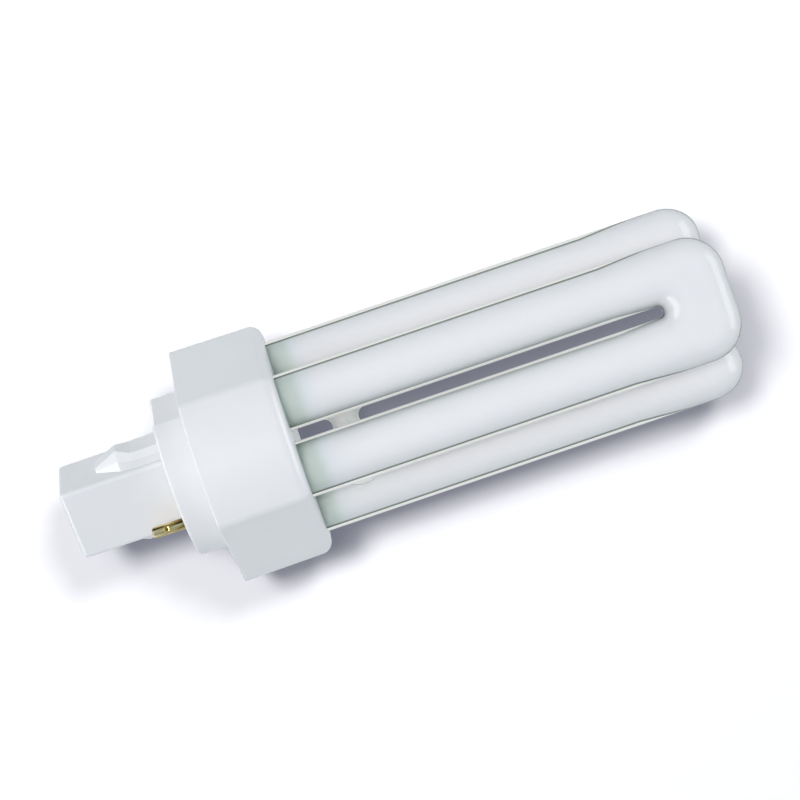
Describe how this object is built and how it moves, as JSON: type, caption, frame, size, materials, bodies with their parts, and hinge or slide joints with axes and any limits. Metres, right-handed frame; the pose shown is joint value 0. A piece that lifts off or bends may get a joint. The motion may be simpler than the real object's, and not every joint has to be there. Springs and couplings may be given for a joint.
{
  "type": "plug-in compact fluorescent lamp",
  "caption": "Compact fluorescent lamp: U-bent white glass tubes in a moulded collar, with a flange, a rectangular starter post with latches, and brass contact pins.",
  "frame": {"origin": "centre of the flange's seating face, on the lamp's axis, where the post leaves it", "axes": "+X along the lamp's axis towards the bent ends of the tubes, +Z out of the front U, +Y along that U's width"},
  "size_m": [0.1456, 0.0512, 0.0479],
  "materials": {
    "phosphor_glass": "gloss",
    "white_moulding": "satin",
    "pin_brass": "polished",
    "clear_glass": "gloss",
    "capacitor_resin": "gloss",
    "sleeving": "matte",
    "tinned_metal": "satin",
    "cement": "matte"
  },
  "bodies": {
    "root": {"discharge_tube": "phosphor_glass", "tube_collar": "white_moulding", "cap_body": "white_moulding", "contact_pin_1": "pin_brass", "contact_pin_2": "pin_brass", "starter_bulb": "clear_glass", "starter_capacitor": "capacitor_resin", "lead_sleeve_1": "sleeving", "lead_sleeve_2": "sleeving", "lead_splice_1": "tinned_metal", "lead_splice_2": "tinned_metal", "electrode_lead_1": "tinned_metal", "electrode_lead_2": "tinned_metal", "electrode_lead_3": "tinned_metal", "electrode_lead_4": "tinned_metal", "limb_cement_1": "cement", "limb_cement_2": "cement", "limb_cement_3": "cement", "limb_cement_4": "cement", "limb_cement_5": "cement", "limb_cement_6": "cement"}
  },
  "joints": []
}
